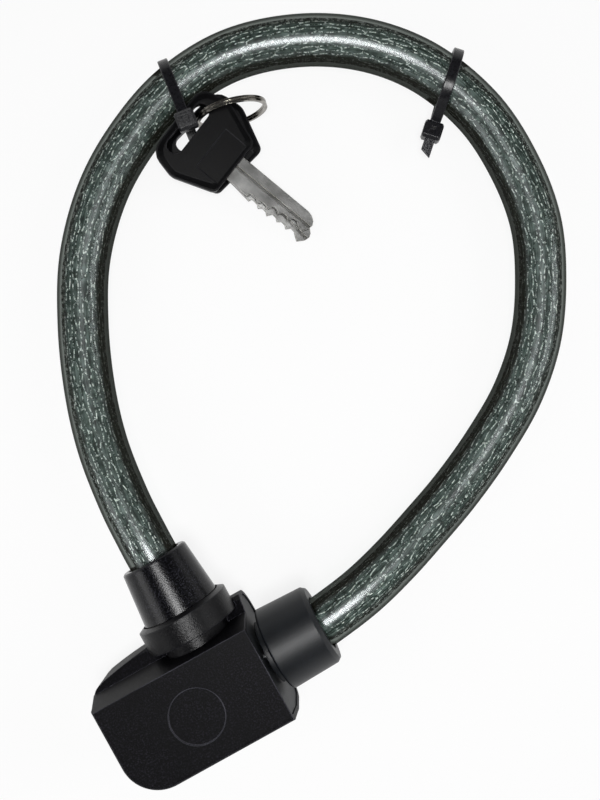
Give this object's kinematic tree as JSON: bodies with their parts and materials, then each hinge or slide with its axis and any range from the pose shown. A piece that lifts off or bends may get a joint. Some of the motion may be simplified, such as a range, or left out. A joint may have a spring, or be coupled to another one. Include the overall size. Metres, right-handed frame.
{
  "type": "keyed cable lock",
  "caption": "Coated steel cable bent into a loop and closed by a small oblong lock body, with keys on a split ring and cable ties.",
  "frame": {"origin": "point on the body's flat back face under the crossing of the locking bolt's axis and the fixed cable end's axis", "axes": "+X along the bolt, the way it pulls out; +Y along the fixed cable end, away from the body; +Z out of the front face"},
  "size_m": [0.1925, 0.1879, 0.0325],
  "materials": {
    "body_plastic": "fine-grained moulded nylon",
    "end_plate_metal": "moulded, satin",
    "case_zinc": "die-cast, black coated",
    "plain_steel": "zinc plated",
    "bolt_steel": "hardened, turned and plated",
    "cylinder_brass": "turned",
    "ferrule_coat": "satin black coating",
    "collar_coat": "fine-textured black coating",
    "clear_jacket": "clear smoky PVC",
    "rope_steel": "stranded wire under fine braid",
    "key_metal": "nickel-plated brass",
    "key_plastic": "moulded",
    "ring_steel": "nickel-plated spring steel",
    "tie_nylon": "moulded nylon"
  },
  "bodies": {
    "lock": {"back_shell": "body_plastic", "front_cover": "body_plastic", "end_plate": "end_plate_metal", "lock_case": "case_zinc", "latch_cover": "plain_steel", "cylinder_housing": "cylinder_brass", "cylinder_pin": "plain_steel", "fixed_stub": "plain_steel", "stub_pin": "plain_steel", "fixed_collar": "collar_coat", "cable_jacket": "clear_jacket", "cable_rope": "rope_steel", "upper_key_blade": "key_metal", "upper_key_bow": "key_plastic", "lower_key_blade": "key_metal", "lower_key_bow": "key_plastic", "key_ring": "ring_steel", "key_tie": "tie_nylon", "loop_tie": "tie_nylon"},
    "plug": {"cylinder_plug": "cylinder_brass", "wafers": "cylinder_brass", "wafer_springs": "plain_steel", "plug_clip": "plain_steel", "drive_cam": "case_zinc"},
    "latch": {"latch": "plain_steel"},
    "removable_end": {"locking_bolt": "bolt_steel", "removable_ferrule": "ferrule_coat"}
  },
  "joints": [
    {"name": "bolt_pull", "type": "slide", "parent": "lock", "child": "removable_end", "axis": [1, 0, 0], "range_m": [0, 0.026], "deforming": ["cable_jacket", "cable_rope"]},
    {"name": "key_turn", "type": "hinge", "parent": "lock", "child": "plug", "pos_m": [-0.02, 0, 0.0165], "axis": [1, 0, 0], "range_deg": [0, 90]},
    {"name": "latch_slide", "type": "slide", "parent": "lock", "child": "latch", "axis": [0, 0, 1], "range_m": [0, 0.00425]}
  ],
  "couplings": [
    {"joint": "latch_slide", "follows": "key_turn", "m_per_rad": 0.0027009}
  ]
}
